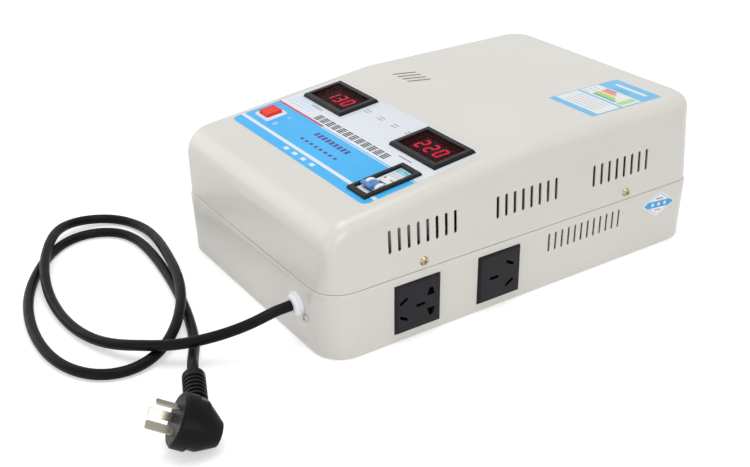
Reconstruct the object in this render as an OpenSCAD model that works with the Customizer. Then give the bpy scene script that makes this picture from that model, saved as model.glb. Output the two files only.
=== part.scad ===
// Automatic voltage stabilizer: a flat moulded case with a sloped control panel,
// a motor-driven ring autotransformer inside and a mains cord with its plug.
// +X is the socket side, -Y the cord end, +Z up, and the surface it stands on is z = 0.

/* [Casing] */
// Width of the casing across the socket side
body_w = 263; // [255:1:300]
// Length of the casing from the cord end to the rear
body_l = 409; // [400:1:450]
// Height of the flat top above the surface it stands on
top_h = 141; // [138:1:160]
// Height of the parting line between base and cover
seam_h = 60.5; // [59:0.5:64]
// Wall thickness of the moulded shells
wall = 3; // [2.5:0.25:4]
// Radius of the upright corners
corner_r = 27; // [22:1:32]
// Radius of the cover's upper edges at the sides and rear
edge_r = 12; // [9:1:15]
// Radius of the brow where the control slope meets the front
brow_r = 26; // [20:1:28]
// Angle of the control slope below the flat top
slope_deg = 6.7; // [5:0.1:8]
// How far the cover leans in on each side
cover_draft = 2.9; // [1:0.1:4]
// How far the base leans in at its two ends
base_end_draft = 2; // [0.5:0.25:4]
// How far the base leans in at its two sides
base_side_draft = 0.6; // [0.4:0.1:1.5]
// Step of the base's lip outside the cover
lip = 1.2; // [0.8:0.1:1.6]
// Height of the rolled lip below the parting line
lip_h = 4; // [3:0.5:6]

/* [Vents] */
// Number of slot groups on each side of the cover
vent_groups = 3; // [1:1:3]
// Number of slots in a group
vent_count = 8; // [4:1:9]
// Distance between slots
vent_pitch = 9.1; // [8:0.1:10]
// Width of a slot
vent_w = 3; // [2:0.2:3.6]
// Length of a slot
vent_h = 20.2; // [14:0.2:24]
// Distance between groups
vent_group_pitch = 107.5; // [100:0.5:112]
// Height of the middle of the slots
vent_z = 93.7; // [90:0.5:98]
// Number of fine slots in the base's sides
base_vent_count = 12; // [6:1:14]
// Distance between the fine slots
base_vent_pitch = 7.53; // [6:0.1:8.5]
// Width of a fine slot
base_vent_w = 2.2; // [1.6:0.2:3]
// Length of a fine slot
base_vent_h = 17.7; // [12:0.5:20]
// Height of the middle of the fine slots
base_vent_z = 44.6; // [42:0.5:45]
// Number of skewed slots in the top
top_vent_count = 4; // [2:1:6]
// Distance between the skewed slots
top_vent_pitch = 8.1; // [7:0.1:10]
// Length of a skewed slot
top_vent_l = 24; // [16:1:26]
// Skew of the slots in the top
top_vent_deg = 17.8; // [0:1:25]

/* [Control panel] */
// Bare margin between the printed label and the side of the casing
label_margin = 20; // [18:0.5:24]
// Length of the printed label down the slope
label_l = 117.7; // [112:1:125]
// Distance from the bend of the top to the rear edge of the label
label_s = 39.3; // [34:1:44]
// Width of a meter's bezel
meter_w = 66; // [60:1:70]
// Height of a meter's bezel down the slope
meter_l = 43; // [38:1:46]
// Distance from the bend of the top to the middle of the meters
meter_s = 64; // [62:0.5:68]
// How far a bezel stands out of the panel
bezel_t = 3; // [2:0.25:4]
// Height of a digit in the meters
digit_h = 14.2; // [12:0.2:16]
// Distance from the bend of the top to the middle of the breaker frame
breaker_s = 124.5; // [120:0.5:126]
// Width of the breaker, one module
breaker_w = 18; // [17.5:0.1:18.5]
// Distance from the bend of the top to the middle of the button
button_s = 127; // [118:0.5:132]
// Side of the square button cap
button_w = 16; // [14:0.5:18]
// Travel of the button
button_travel = 3; // [2:0.25:4]

/* [Outlets and cord] */
// Side of a square outlet
outlet_w = 45; // [43:0.5:46]
// Distance from the cord end to the middle of the first outlet
outlet_first = 86; // [80:1:92]
// Distance between the two outlets
outlet_pitch = 84.3; // [70:0.5:88]
// Height of the middle of the outlets
outlet_z = 31.4; // [30.5:0.1:32]
// Diameter of the mains cord
cord_d = 9; // [8:0.25:9.5]
// Distance from the socket side to the middle of the cord bushing
bushing_inset = 46; // [42:0.5:60]
// Height of the middle of the cord bushing
bushing_z = 38.5; // [34:0.5:42]
// Diameter of the plug's face
plug_d = 41; // [39:0.5:44]

/* [Transformer] */
// Outer diameter of the wound ring
ring_d = 204; // [190:1:206]
// Diameter of the hole through the wound ring
ring_hole_d = 92; // [88:1:100]
// Height of the wound ring
ring_h = 66; // [56:1:68]
// Thickness of the winding over the core
winding_t = 6; // [4:0.5:8]
// Diameter of the drive motor
motor_d = 56; // [50:1:58]
// Height of the drive motor
motor_h = 34; // [28:1:38]
// Diameter of the brush shaft
shaft_d = 8; // [6:0.5:9]

/* [Hidden] */

// Shared fits
over = 1;
fit = 0.3;
slide_fit = 0.05;
hull_fn = 32;
$fn = 48;

// Casing
base_edge_r = 3;
rim_h = 3;
rim_t = 1.5;
rim_root = 5;
rim_bite = 1;
cover_front_draft = 3;
cover_skirt = 2;
screw_z = 68;
screw_inset = 93;
screw_d = 4;
screw_head_d = 8;
screw_head_h = 2.4;
head_top_share = 0.7;
screw_l = 9;
tab_w = 16;
tab_t = 3;
tab_top = 8;
tab_drop = 8;
keyhole_d = 9;
keyhole_slot_w = 4.5;
keyhole_slot_l = 11;
keyhole_pitch = 160;
keyhole_y = 150;
vent_group_y = -4;
vent_skin = 1;
vent_border = 1.5;
base_vent_y = 62.7;
seam_groove_h = 0.7;
seam_groove_t = 1.2;
top_vent_x = -66.2;
top_vent_y = 14.6;

tan_slope = tan(slope_deg);
bend_y = edge_r * tan(slope_deg / 2);
brow_y = body_l / 2 - lip - cover_front_draft - brow_r;
brow_z = top_h - tan_slope * brow_y - brow_r / cos(slope_deg);
cover_in = lip + cover_draft;
inner_half = body_w / 2 - lip - wall;
boss_root = wall - over / 2;
hole_root = wall + over / 2;
screw_y = body_l / 2 - screw_inset;
outlet_y = [outlet_first - body_l / 2, outlet_first + outlet_pitch - body_l / 2];
base_front_tilt = atan(base_end_draft / (seam_h - lip_h - base_edge_r));
function front_y(z) = body_l / 2 - (seam_h - lip_h - z) * tan(base_front_tilt);
cover_side_tilt = atan(cover_draft / (top_h - edge_r - seam_h - cover_skirt));
function side_x(z) = body_w / 2 - cover_in + (top_h - edge_r - z) * tan(cover_side_tilt);
base_side_tilt = atan(base_side_draft / (seam_h - lip_h - base_edge_r));
function base_x(z) = body_w / 2 - (seam_h - lip_h - z) * tan(base_side_tilt);

// Panel
label_t = 0.4;
label_w = body_w - 2 * label_margin;
label_r = 6;
meter_in_margin = 8.5;
meter_out_margin = 5;
meter_in_x = meter_in_margin + meter_w / 2 - label_w / 2;
meter_out_x = label_w / 2 - meter_out_margin - meter_w / 2;
bezel_lap = 4.5;
bezel_bevel = 1.5;
bezel_depth = 18;
bezel_wall = 1.5;
window_t = 1.5;
window_sink = 1;
display_t = 8;
display_margin = 3;
digit_w = 8;
digit_pitch = 12.7;
digit_bar = 1.5;
digit_t = 0.4;
digit_gap = 0.25;
digit_lean_share = 0.1;
meter_pcb_t = 1.6;
meter_post_d = 5;
button_margin = 21;
button_x = button_margin - label_w / 2;
button_frame_w = 23;
button_frame_l = 22;
button_frame_t = 2;
button_stand = 5.2;
button_skirt = 12;
button_wall = 1;
button_sleeve_w = button_w + 2 * fit + 2 * button_wall;
button_round = 1;
button_box_h = 22;
button_stem_w = 6;
button_pin_l = 5;
button_bottom = button_stand - button_skirt;
button_seat = min(button_bottom - button_travel, -2 * wall) - fit;
breaker_margin = 19;
breaker_x = label_w / 2 - breaker_margin;
breaker_frame_w = 27;
breaker_frame_l = 56;
breaker_frame_t = 2.5;
breaker_frame_bevel = 0.8;
breaker_face_l = 45;
breaker_face_n = 0.6;
breaker_nose_l = 18;
breaker_depth = 60;
breaker_body_l = 76;
breaker_dome_r = 8;
breaker_dome_sink = 4.5;
breaker_dome_s = 9;
toggle_hub_r = 6.8;
toggle_hub_w = 10;
toggle_slot_w = toggle_hub_w + 2 * fit;
toggle_stem_w = 8;
toggle_reach = 10.5;
toggle_rest_deg = 49;
toggle_grip_w = 14;
toggle_grip_r = 2.1;
toggle_stem_t = 3;
strap_w = 14;
strap_t = 1.5;
strap_foot = 4;

// Outlets
outlet_t = 3.4;
outlet_bevel = 2;
outlet_sink = 0.3;
outlet_box_w = 41;
outlet_box_depth = 30;
pin_slot_t = 2.8;
small_pin_x = 7.9;
small_pin_gap = 16.6;
small_slot_l = 9;
large_pin_x = 9.5;
large_pin_gap = 16.6;
large_slot_l = 9.6;
small_earth_share = -0.028;
large_earth_share = 0.15;
pin_skew = 30;
two_pin_y = 11.6;
two_pin_z = 9.5;
two_pin_wide = 8;
two_pin_narrow = 3;
two_pin_h = 7;
slot_depth = 22;
tab_size = [6, 7, 9];

// Cord bushing
bushing_d = 21;
bushing_flange = 3;
bushing_nose = 3.5;
bushing_nose_d = 15;
bushing_taper_share = 0.9;
bushing_thread_d = 14;
bushing_inner = 12;
nut_d = 22;
nut_h = 5;
earth_inset = 33.5;
earth_z = 30.4;
earth_head_d = 7;
earth_head_h = 2.2;

// Plug
plug_x = 154;
plug_y = -342;
plug_z = 25.6;
plug_heading = 158;
plug_tilt = 28;
plug_dip = 0;
plug_flange = 11;
plug_round = 2;
plug_shoulder_d = 37;
plug_shoulder = 19;
plug_depth = 32;
plug_back_d = 19;
plug_back_round = 5;
plug_back_x = -4;
plug_neck = 17;
relief_d = 13;
relief_l = 60;
relief_root = 14;
relief_rib_d = 18;
relief_collar_l = 8;
relief_rib_l = 2.6;
relief_pitch = 4.8;
relief_ribs = 5;
plug_pin_w = 6.4;
plug_pin_t = 1.5;
plug_pin_l = 18;
earth_pin_extra = 3;
plug_pin_bevel = 1;
plug_pin_turn = -26;
earth_pin_x = 9.9;
line_pin_x = 5;
line_pin_z = 7.9;

// Transformer and drive
ring_gap = 14.5;
ring_y = body_l / 2 - ring_gap - ring_d / 2;
boss_d = 12;
plate_t = 2;
plate_z = 12;
plate_w = 208;
plate_l = 192;
plate_hole = 10;
pad_t = 3;
ring_z = plate_z + plate_t + pad_t;
ring_round = 12;
core_gap = 0.5;
track_w = 18;
track_t = 0.8;
track_inset = 18;
clamp_pad_t = 2;
clamp_t = 3;
clamp_gap = 2;
clamp_d = ring_d - 2 * (track_inset + track_w + clamp_gap);
clamp_z = ring_z + ring_h + clamp_pad_t;
clamp_bolt_d = 6;
clamp_bolt_r = 37;
clamp_bolt_count = 4;
clamp_head_d = 11;
clamp_head_h = 4;
bush_d = 20;
bush_h = 6;
shaft_root = 8;
arm_gap = 2;
hub_d = 24;
hub_h = 12;
arm_w = 18;
arm_t = 6;
holder_l = 24;
brush_size = [9, 14];
brush_gap = 0.3;
brush_roof = 3;
stop_r = 44;
stop_d = 6;

// Control board
board_x = -5;
board_y = -128;
board_w = 140;
board_l = 104;
board_t = 1.6;
board_z = 14;
board_inset = 6;
board_boss_d = 9;
screw_m3 = 3;
screw_m3_head_d = 6;
screw_m3_head_h = 2;
relay_size = [20, 28, 24];
relay_gap = 4;
relay_x = 28;
relay_y = 18;
relay_count = 3;
cap_d = 16;
cap_h = 30;
cap_x = -44;
cap_y = 30;
cap_pitch = 20;
small_coil = [40, 34, 34];
coil_core_t = 10;
coil_w_share = 0.7;
coil_h_share = 0.66;
coil_x = -40;
coil_y = -14;
sink_size = [60, 20, 30];
sink_fin_t = 1.6;
sink_fins = 8;
sink_base_t = 4;
sink_x = 18;
sink_y = -36;
out_relay = [34, 50, 44];
out_relay_x = -104;
out_relay_y = -40;
out_relay_foot = 5;
block_size = [26, 84, 20];
block_x = -106;
block_y = -124;
block_poles = 6;
block_wall = 2;
block_deep = 8;

// Printed labels
top_label_w = 56.5;
top_label_l = 83.5;
top_label_x = 81.8;
top_label_y = 124.8;
sticker_t = 0.3;
sticker_l = 42;
sticker_w = 26;
sticker_tilt = -5;
sticker_y = 155.4;
sticker_z = 44.8;

// Wires
wire_d = 4;
wire_sides = 8;
wire_steps = 3;
live_route = [
  [-103, -144.5, 17.3], [-94, -144.5, 17.4], [-87, -143, 20], [-83, -124, 30], [-82, -96, 42],
  [-78, -66, 54], [-66, -42, 68], [-20, -30, 80], [50, -28, 90], [100, -8, 94], [114, 24, 92],
  [114, 62, 84], [112, 82, 70], [108, 88, 64], [102.4, 88, 64]
];
neutral_route = [
  [-103, -103.5, 17.3], [-94, -103.5, 17.4], [-87, -102, 18], [-80, -90, 20], [-77, -70, 24],
  [-50, -58, 31], [20, -56, 36], [64, -60, 36], [78, -84, 34], [80, -108, 32], [84, -118.5, 31.4],
  [91.2, -118.5, 31.4]
];
earth_route = [
  [98, -194.2, 30], [98, -188, 29.6], [86, -186, 25], [60, -189, 20], [0, -190, 14], [-66, -191, 13],
  [-83, -184, 13.5], [-86, -168, 16], [-92, -158.2, 17.4], [-102, -158.2, 17.3]
];

// Route of the cord on the surface, from the bushing to the plug
cord_sides = 10;
cord_steps = 2;
cord_straight = 8;
cord_route = [
  [84, -243, 33], [77, -263, 27], [66, -282, 21], [53, -302, 16.5], [36, -321, 15], [10, -340, 8.5],
  [-32, -353, 4.6], [-88, -354, 5], [-138, -343, 12], [-180, -322, 15.5], [-208, -302, 13],
  [-220, -273, 7.5], [-209, -244, 4.8], [-178, -230, 4.6], [-140, -231, 8.5], [-92, -240, 13.5],
  [-42, -250, 14.5], [6, -271, 14.5], [37, -297, 8], [52, -327, 4.6], [46, -358, 4.6], [18, -378, 4.6],
  [-22, -384, 4.6], [-68, -379, 4.6], [-112, -366, 4.6], [-152, -343, 4.6], [-184, -316, 4.6],
  [-197, -286, 4.6], [-184, -255, 4.6], [-152, -243, 4.6], [-92, -246.5, 4.6],
  [-28, -256, 4.6], [38, -274, 4.6], [68, -290, 11]
];

// Small shapes that many parts share

module rounded_rect(w, l, r) {
  square([w - 2 * r, l], center = true);
  square([w, l - 2 * r], center = true);
  for (sx = [-1, 1], sy = [-1, 1])
    translate([sx * (w / 2 - r), sy * (l / 2 - r)])
      circle(r);
}

module slot_2d(length, width) {
  square([width, length - width], center = true);
  for (s = [-1, 1])
    translate([0, s * (length - width) / 2])
      circle(d = width);
}

module bevel_block(w, l, t, bevel) {
  intersection() {
    rotate([90, 0, 0])
      linear_extrude(l, center = true)
        polygon([[-w / 2, 0], [w / 2, 0], [w / 2 - bevel, t], [bevel - w / 2, t]]);
    rotate([90, 0, 90])
      linear_extrude(w, center = true)
        polygon([[-l / 2, 0], [l / 2, 0], [l / 2 - bevel, t], [bevel - l / 2, t]]);
  }
}

module block(size) {
  translate([-size.x / 2, -size.y / 2, 0])
    cube(size);
}

module pan_screw(d, length, head_d, head_h) {
  difference() {
    union() {
      translate([0, 0, -length])
        cylinder(d = d, h = length);
      cylinder(d1 = head_d, d2 = head_d * head_top_share, h = head_h);
    }
    for (a = [0, 90])
      rotate([0, 0, a])
        translate([-head_d / 4, -head_d / 16, head_h / 2])
          cube([head_d / 2, head_d / 8, head_h]);
  }
}

// Places: x across the panel and s down the slope from the bend, with z off the panel
module on_panel(x, s) {
  translate([0, 0, top_h])
    rotate([slope_deg, 0, 0])
      translate([x, -s, 0])
        children();
}

// Places on the base's front face, with z pointing out of it
module on_front(x, z) {
  translate([x, -front_y(z), z])
    rotate([90 + base_front_tilt, 0, 0])
      children();
}

// Places on the socket side, with z pointing out of it, x to the rear and y up
module on_side(y, z, x) {
  translate([x, y, z])
    rotate([90, 0, 90])
      children();
}

// Smooth curve that follows a list of points, and the tube swept along it
function spline(p0, p1, p2, p3, t) =
  (pow(1 - t, 3) * p0 + (3 * pow(t, 3) - 6 * t * t + 4) * p1
  + (3 * t + 3 * t * t - 3 * pow(t, 3) + 1) * p2 + pow(t, 3) * p3) / 6;
function at(points, i) = let (last = len(points) - 1)
  i < 0 ? 2 * points[0] - points[1] : i > last ? 2 * points[last] - points[last - 1] : points[i];
function smooth(points, steps) = [
  for (i = [0 : len(points) - 2], k = [0 : steps - 1])
    spline(at(points, i - 1), points[i], points[i + 1], at(points, i + 2), k / steps),
  points[len(points) - 1]
];
function unit(v) = v / norm(v);
function tangent(path, i) = unit(at(path, i + 1) - at(path, i - 1));
function side_of(t, up) = unit(cross(t, up));
function ring(path, i, r, sides, up) =
  let (t = tangent(path, i), a = side_of(t, up), b = cross(a, t))
  [for (k = [0 : sides - 1]) path[i] + r * (cos(360 * k / sides) * a + sin(360 * k / sides) * b)];

module tube(path, d, sides, up = [0, 0, 1]) {
  n = len(path);
  points = [for (i = [0 : n - 1]) each ring(path, i, d / 2, sides, up)];
  walls = [
    for (i = [0 : n - 2], k = [0 : sides - 1])
      let (a = i * sides + k, b = i * sides + (k + 1) % sides)
        each [[a, b, b + sides], [a, b + sides, a + sides]]
  ];
  caps = [
    for (k = [1 : sides - 2])
      each [[0, k + 1, k], [(n - 1) * sides, (n - 1) * sides + k, (n - 1) * sides + k + 1]]
  ];
  polyhedron(points, concat(walls, caps));
}

// Casing

module edge_ring(x, y, z, r, edge) {
  translate([x, y, z])
    rotate_extrude($fn = hull_fn)
      translate([r - edge, 0])
        circle(edge, $fn = hull_fn);
}

// A roll about x whose rounded ends blend the brow into the sides
module brow_end(x, inset) {
  translate([x, -brow_y, brow_z])
    rotate([slope_deg, 0, 0])
      rotate([0, 90, 0])
        rotate_extrude($fn = hull_fn)
          translate([brow_r - edge_r, 0])
            circle(edge_r - inset, $fn = hull_fn);
}

module cover_form(inset, drop) {
  foot_x = body_w / 2 - corner_r;
  foot_y = body_l / 2 - corner_r;
  hull() {
    for (sx = [-1, 1], sy = [-1, 1])
      translate([sx * foot_x, sy * foot_y, seam_h - drop])
        cylinder(r = corner_r - lip - inset, h = cover_skirt + drop, $fn = hull_fn);
    for (sx = [-1, 1]) {
      edge_ring(sx * (foot_x - cover_in), foot_y - cover_in, top_h - edge_r,
        corner_r - inset, edge_r - inset);
      translate([sx * (body_w / 2 - cover_in - edge_r), bend_y, top_h - edge_r])
        sphere(edge_r - inset, $fn = hull_fn);
      brow_end(sx * (body_w / 2 - cover_in - edge_r), inset);
    }
  }
}

module base_form(inset, rise) {
  foot_x = body_w / 2 - corner_r;
  foot_y = body_l / 2 - corner_r;
  edge = max(base_edge_r - inset, base_edge_r / 2);
  hull() {
    for (sx = [-1, 1], sy = [-1, 1]) {
      translate([sx * foot_x, sy * foot_y, seam_h - lip_h])
        cylinder(r1 = corner_r - inset, r2 = corner_r - lip - inset, h = lip_h, $fn = hull_fn);
      if (rise > 0)
        translate([sx * foot_x, sy * foot_y, seam_h])
          cylinder(r = corner_r - lip - inset, h = rise, $fn = hull_fn);
      edge_ring(sx * (foot_x - base_side_draft), sy * (foot_y - base_end_draft),
        inset + edge, corner_r - inset, edge);
    }
  }
}

module side_slots(count, pitch, length, width, y, z) {
  for (i = [0 : count - 1])
    translate([0, y + (i - (count - 1) / 2) * pitch, z])
      rotate([90, 0, 90])
        linear_extrude(body_w + 2 * over, center = true)
          slot_2d(length, width);
}

// A box that spans the casing and holds a row of slots, with a border around them
module vent_row(count, pitch, length, width, y, z) {
  translate([0, y, z - length / 2 - vent_border])
    block([body_w, (count - 1) * pitch + width + 2 * vent_border, length + 2 * vent_border]);
}

function group_y(g) = vent_group_y + (g - (vent_groups - 1) / 2) * vent_group_pitch;

module keyhole() {
  circle(d = keyhole_d);
  translate([0, keyhole_slot_l / 2])
    slot_2d(keyhole_slot_l + keyhole_slot_w, keyhole_slot_w);
}

module each_cover_screw() {
  for (sx = [-1, 1], sy = [-1, 1])
    translate([sx * side_x(screw_z), sy * screw_y, screw_z])
      rotate([0, sx * (90 - cover_side_tilt), 0])
        children();
}

module each_chassis_screw() {
  for (sx = [-1, 1], sy = [-1, 1])
    translate([sx * (plate_w / 2 - plate_hole), ring_y + sy * (plate_l / 2 - plate_hole), plate_z])
      children();
}

module each_board_screw() {
  for (sx = [-1, 1], sy = [-1, 1])
    translate([board_x + sx * (board_w / 2 - board_inset),
      board_y + sy * (board_l / 2 - board_inset), board_z])
      children();
}

module rim() {
  w = 2 * (inner_half - fit);
  l = w + body_l - body_w;
  r = corner_r - lip - wall - fit;
  bite = fit + lip + rim_bite;
  difference() {
    union() {
      translate([0, 0, seam_h - rim_root])
        linear_extrude(rim_root)
          rounded_rect(w + 2 * bite, l + 2 * bite, r + bite);
      translate([0, 0, seam_h - over])
        linear_extrude(rim_h + over)
          rounded_rect(w, l, r);
    }
    translate([0, 0, seam_h - rim_root - over])
      linear_extrude(rim_root + rim_h + 2 * over)
        rounded_rect(w - 2 * rim_t, l - 2 * rim_t, r - rim_t);
  }
}

module screw_tabs() {
  outer = side_x(screw_z + tab_top) - wall - fit;
  reach = body_w / 2 - wall + rim_bite - outer + tab_t;
  for (sx = [-1, 1], sy = [-1, 1])
    translate([sx * (outer - tab_t / 2), sy * screw_y, 0]) {
      translate([0, 0, seam_h - tab_drop])
        block([tab_t, tab_w, screw_z + tab_top - seam_h + tab_drop]);
      translate([sx * (reach - tab_t) / 2, 0, seam_h - tab_drop])
        block([reach, tab_w, tab_drop - rim_root / 2]);
    }
}

module base_pan() {
  color([0.86, 0.85, 0.82])
    difference() {
      union() {
        difference() {
          base_form(0, 0);
          base_form(wall, over);
          intersection() {
            base_form(vent_skin, 0);
            vent_row(base_vent_count, base_vent_pitch, base_vent_h, base_vent_w, base_vent_y,
              base_vent_z);
          }
        }
        rim();
        screw_tabs();
        each_chassis_screw()
          translate([0, 0, boss_root - plate_z])
            cylinder(d = boss_d, h = plate_z - boss_root);
        each_board_screw()
          translate([0, 0, boss_root - board_z])
            cylinder(d = board_boss_d, h = board_z - boss_root);
      }
      each_cover_screw()
        translate([0, 0, -screw_l - over])
          cylinder(d = screw_d + 2 * slide_fit, h = screw_l + over);
      each_chassis_screw()
        translate([0, 0, hole_root - plate_z])
          cylinder(d = screw_d + 2 * slide_fit, h = plate_z);
      each_board_screw()
        translate([0, 0, hole_root - board_z])
          cylinder(d = screw_m3 + 2 * slide_fit, h = board_z);
      side_slots(base_vent_count, base_vent_pitch, base_vent_h, base_vent_w, base_vent_y,
        base_vent_z);
      for (y = outlet_y) {
        on_side(y, outlet_z, body_w / 2 - base_side_draft - outlet_sink)
          translate([-outlet_w / 2 - fit, -outlet_w / 2 - fit, 0])
            cube([outlet_w + 2 * fit, outlet_w + 2 * fit, wall]);
        on_side(y, outlet_z, body_w / 2 - 2 * wall)
          translate([-outlet_box_w / 2 - fit, -outlet_box_w / 2 - fit, 0])
            cube([outlet_box_w + 2 * fit, outlet_box_w + 2 * fit, 2 * wall + over]);
      }
      on_front(body_w / 2 - bushing_inset, bushing_z)
        translate([0, 0, -2 * wall])
          cylinder(d = bushing_thread_d + 2 * slide_fit, h = 3 * wall);
      on_front(body_w / 2 - earth_inset, earth_z)
        translate([0, 0, -2 * wall])
          cylinder(d = screw_d + 2 * slide_fit, h = 3 * wall);
      for (s = [-1, 1])
        translate([s * keyhole_pitch / 2, keyhole_y, -over])
          linear_extrude(wall + 2 * over)
            keyhole();
    }
}

// Openings through the cover's slope and its label for the meters, breaker and button
module panel_opening(x, s, w, l) {
  on_panel(x, s)
    translate([0, 0, -2 * wall])
      block([w + 2 * fit, l + 2 * fit, 3 * wall]);
}

module panel_openings() {
  for (x = [meter_in_x, meter_out_x])
    panel_opening(x, meter_s, meter_w - 2 * bezel_lap, meter_l - 2 * bezel_lap);
  panel_opening(breaker_x, breaker_s, breaker_w, breaker_face_l);
  panel_opening(button_x, button_s, button_sleeve_w, button_sleeve_w);
}

module top_cover() {
  color([0.88, 0.87, 0.84])
    difference() {
      cover_form(0, 0);
      cover_form(wall, over);
      intersection() {
        cover_form(vent_skin, 0);
        union() {
          for (g = [0 : vent_groups - 1])
            vent_row(vent_count, vent_pitch, vent_h, vent_w, group_y(g), vent_z);
          translate([top_vent_x, top_vent_y, top_h - 2 * wall])
            block([top_vent_count * top_vent_pitch + 2 * vent_w, top_vent_l + 2 * vent_border, 2 * wall]);
        }
      }
      translate([0, 0, seam_h - over])
        linear_extrude(seam_groove_h + over)
          difference() {
            square([body_w + 2 * over, body_l + 2 * over], center = true);
            rounded_rect(body_w - 2 * lip - 2 * seam_groove_t, body_l - 2 * lip - 2 * seam_groove_t,
              corner_r - lip - seam_groove_t);
          }
      for (g = [0 : vent_groups - 1])
        side_slots(vent_count, vent_pitch, vent_h, vent_w, group_y(g), vent_z);
      for (i = [0 : top_vent_count - 1])
        translate([top_vent_x + (i - (top_vent_count - 1) / 2) * top_vent_pitch, top_vent_y,
          top_h - 2 * wall])
          rotate([0, 0, -top_vent_deg])
            linear_extrude(3 * wall)
              slot_2d(top_vent_l, vent_w);
      each_cover_screw()
        translate([0, 0, -2 * wall])
          cylinder(d = screw_d + 2 * fit, h = 3 * wall);
      panel_openings();
    }
}

module cover_screws() {
  color([0.78, 0.7, 0.42])
    each_cover_screw()
      pan_screw(screw_d, screw_l - over, screw_head_d, screw_head_h);
}

module panel_label() {
  color([0.3, 0.72, 1])
    difference() {
      on_panel(0, label_s + label_l / 2)
        linear_extrude(label_t)
          rounded_rect(label_w, label_l, label_r);
      panel_openings();
    }
}

// Meters

module meter_bezel(x) {
  sleeve_w = meter_w - 2 * bezel_lap;
  sleeve_l = meter_l - 2 * bezel_lap;
  color([0.16, 0.16, 0.18])
    on_panel(x, meter_s)
      difference() {
        union() {
          translate([0, 0, label_t])
            bevel_block(meter_w, meter_l, bezel_t, bezel_bevel);
          translate([0, 0, -bezel_depth])
            block([sleeve_w, sleeve_l, bezel_depth + bezel_t / 2]);
        }
        translate([0, 0, -bezel_depth - over])
          block([sleeve_w - 2 * bezel_wall, sleeve_l - 2 * bezel_wall,
            bezel_depth + bezel_t + label_t + 2 * over]);
      }
}

module meter_window(x) {
  color([0.35, 0.03, 0.05, 0.6])
    on_panel(x, meter_s)
      translate([0, 0, label_t + bezel_t - window_sink - window_t])
        block([meter_w - 2 * bezel_lap - 2 * bezel_wall - 2 * slide_fit,
          meter_l - 2 * bezel_lap - 2 * bezel_wall - 2 * slide_fit, window_t]);
}

// A lit bar of a digit, lying along x, with pointed ends
module digit_segment(length) {
  h = digit_bar / 2;
  polygon([[-length / 2, 0], [h - length / 2, h], [length / 2 - h, h], [length / 2, 0],
    [length / 2 - h, -h], [h - length / 2, -h]]);
}

// Lit bars in the order top, upper right, lower right, bottom, lower left, upper left, middle
DIGITS = [
  [1, 1, 1, 1, 1, 1, 0], [0, 1, 1, 0, 0, 0, 0], [1, 1, 0, 1, 1, 0, 1], [1, 1, 1, 1, 0, 0, 1]
];

module digit(value) {
  bars = DIGITS[value];
  half = (digit_h - digit_bar) / 2;
  reach = (digit_w - digit_bar) / 2;
  places = [
    [0, half, 0], [reach, half / 2, 90], [reach, -half / 2, 90], [0, -half, 0],
    [-reach, -half / 2, 90], [-reach, half / 2, 90], [0, 0, 0]
  ];
  for (i = [0 : len(bars) - 1])
    if (bars[i] > 0)
      translate([places[i].x + places[i].y * digit_lean_share, places[i].y])
        rotate(places[i].z == 0 ? 0 : places[i].z - atan(digit_lean_share))
          digit_segment((places[i].z == 0 ? 2 * reach : half) - digit_gap);
}

display_top = label_t + bezel_t - window_sink - window_t - digit_t - fit;

module meter_digits(x, values) {
  color([1, 0.25, 0.4])
    on_panel(x, meter_s)
      translate([0, 0, display_top])
        for (i = [0 : len(values) - 1])
          translate([(i - (len(values) - 1) / 2) * digit_pitch, 0, 0])
            linear_extrude(digit_t)
              digit(values[i]);
}

module meter_board(x) {
  inner_w = meter_w - 2 * bezel_lap - 2 * bezel_wall;
  inner_l = meter_l - 2 * bezel_lap - 2 * bezel_wall;
  color([0.1, 0.4, 0.2])
    on_panel(x, meter_s) {
      translate([0, 0, display_top - display_t])
        block([3 * digit_pitch, digit_h + 2 * display_margin, display_t]);
      translate([0, 0, display_top - display_t - meter_pcb_t])
        block([inner_w - 2 * slide_fit, inner_l - 2 * slide_fit, meter_pcb_t]);
      for (s = [-1, 1])
        translate([s * (inner_w / 2 - meter_post_d), 0,
          display_top - display_t - meter_pcb_t - meter_post_d])
          block([meter_post_d, meter_post_d, meter_post_d]);
    }
}

// Button

module button_frame() {
  color([0.95, 0.95, 0.95])
    on_panel(button_x, button_s)
      difference() {
        union() {
          translate([0, 0, label_t])
            bevel_block(button_frame_w, button_frame_l, button_frame_t, button_frame_t / 4);
          translate([0, 0, button_seat])
            block([button_sleeve_w, button_sleeve_w, label_t + button_frame_t / 2 - button_seat]);
        }
        translate([0, 0, button_seat - over])
          block([button_w + 2 * fit, button_w + 2 * fit, 5 * wall - button_seat]);
      }
}

module button_cap() {
  color([0.93, 0.24, 0.16])
    on_panel(button_x, button_s) {
      translate([0, 0, button_bottom])
        linear_extrude(button_skirt)
          rounded_rect(button_w, button_w, button_round);
      translate([0, 0, button_bottom - button_pin_l])
        block([button_stem_w, button_stem_w, button_pin_l + over]);
    }
}

module button_switch() {
  pocket = button_bottom - button_pin_l - button_travel - fit;
  color([0.2, 0.2, 0.22])
    on_panel(button_x, button_s)
      difference() {
        translate([0, 0, button_seat - button_box_h])
          block([button_sleeve_w, button_sleeve_w, button_box_h]);
        translate([0, 0, pocket])
          block([button_stem_w + 2 * fit, button_stem_w + 2 * fit, button_seat - pocket + over]);
      }
}

// Breaker

module breaker_frame() {
  color([0.2, 0.2, 0.23])
    on_panel(breaker_x, breaker_s)
      difference() {
        translate([0, 0, label_t])
          bevel_block(breaker_frame_w, breaker_frame_l, breaker_frame_t, breaker_frame_bevel);
        translate([0, 0, -over])
          block([breaker_w + 2 * fit, breaker_face_l + 2 * fit, breaker_frame_t + 3 * over]);
      }
}

// Places at the toggle's pivot, with x along its axis
module at_toggle() {
  on_panel(breaker_x, breaker_s + breaker_dome_s)
    translate([0, 0, breaker_face_n - breaker_dome_sink])
      children();
}

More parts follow.
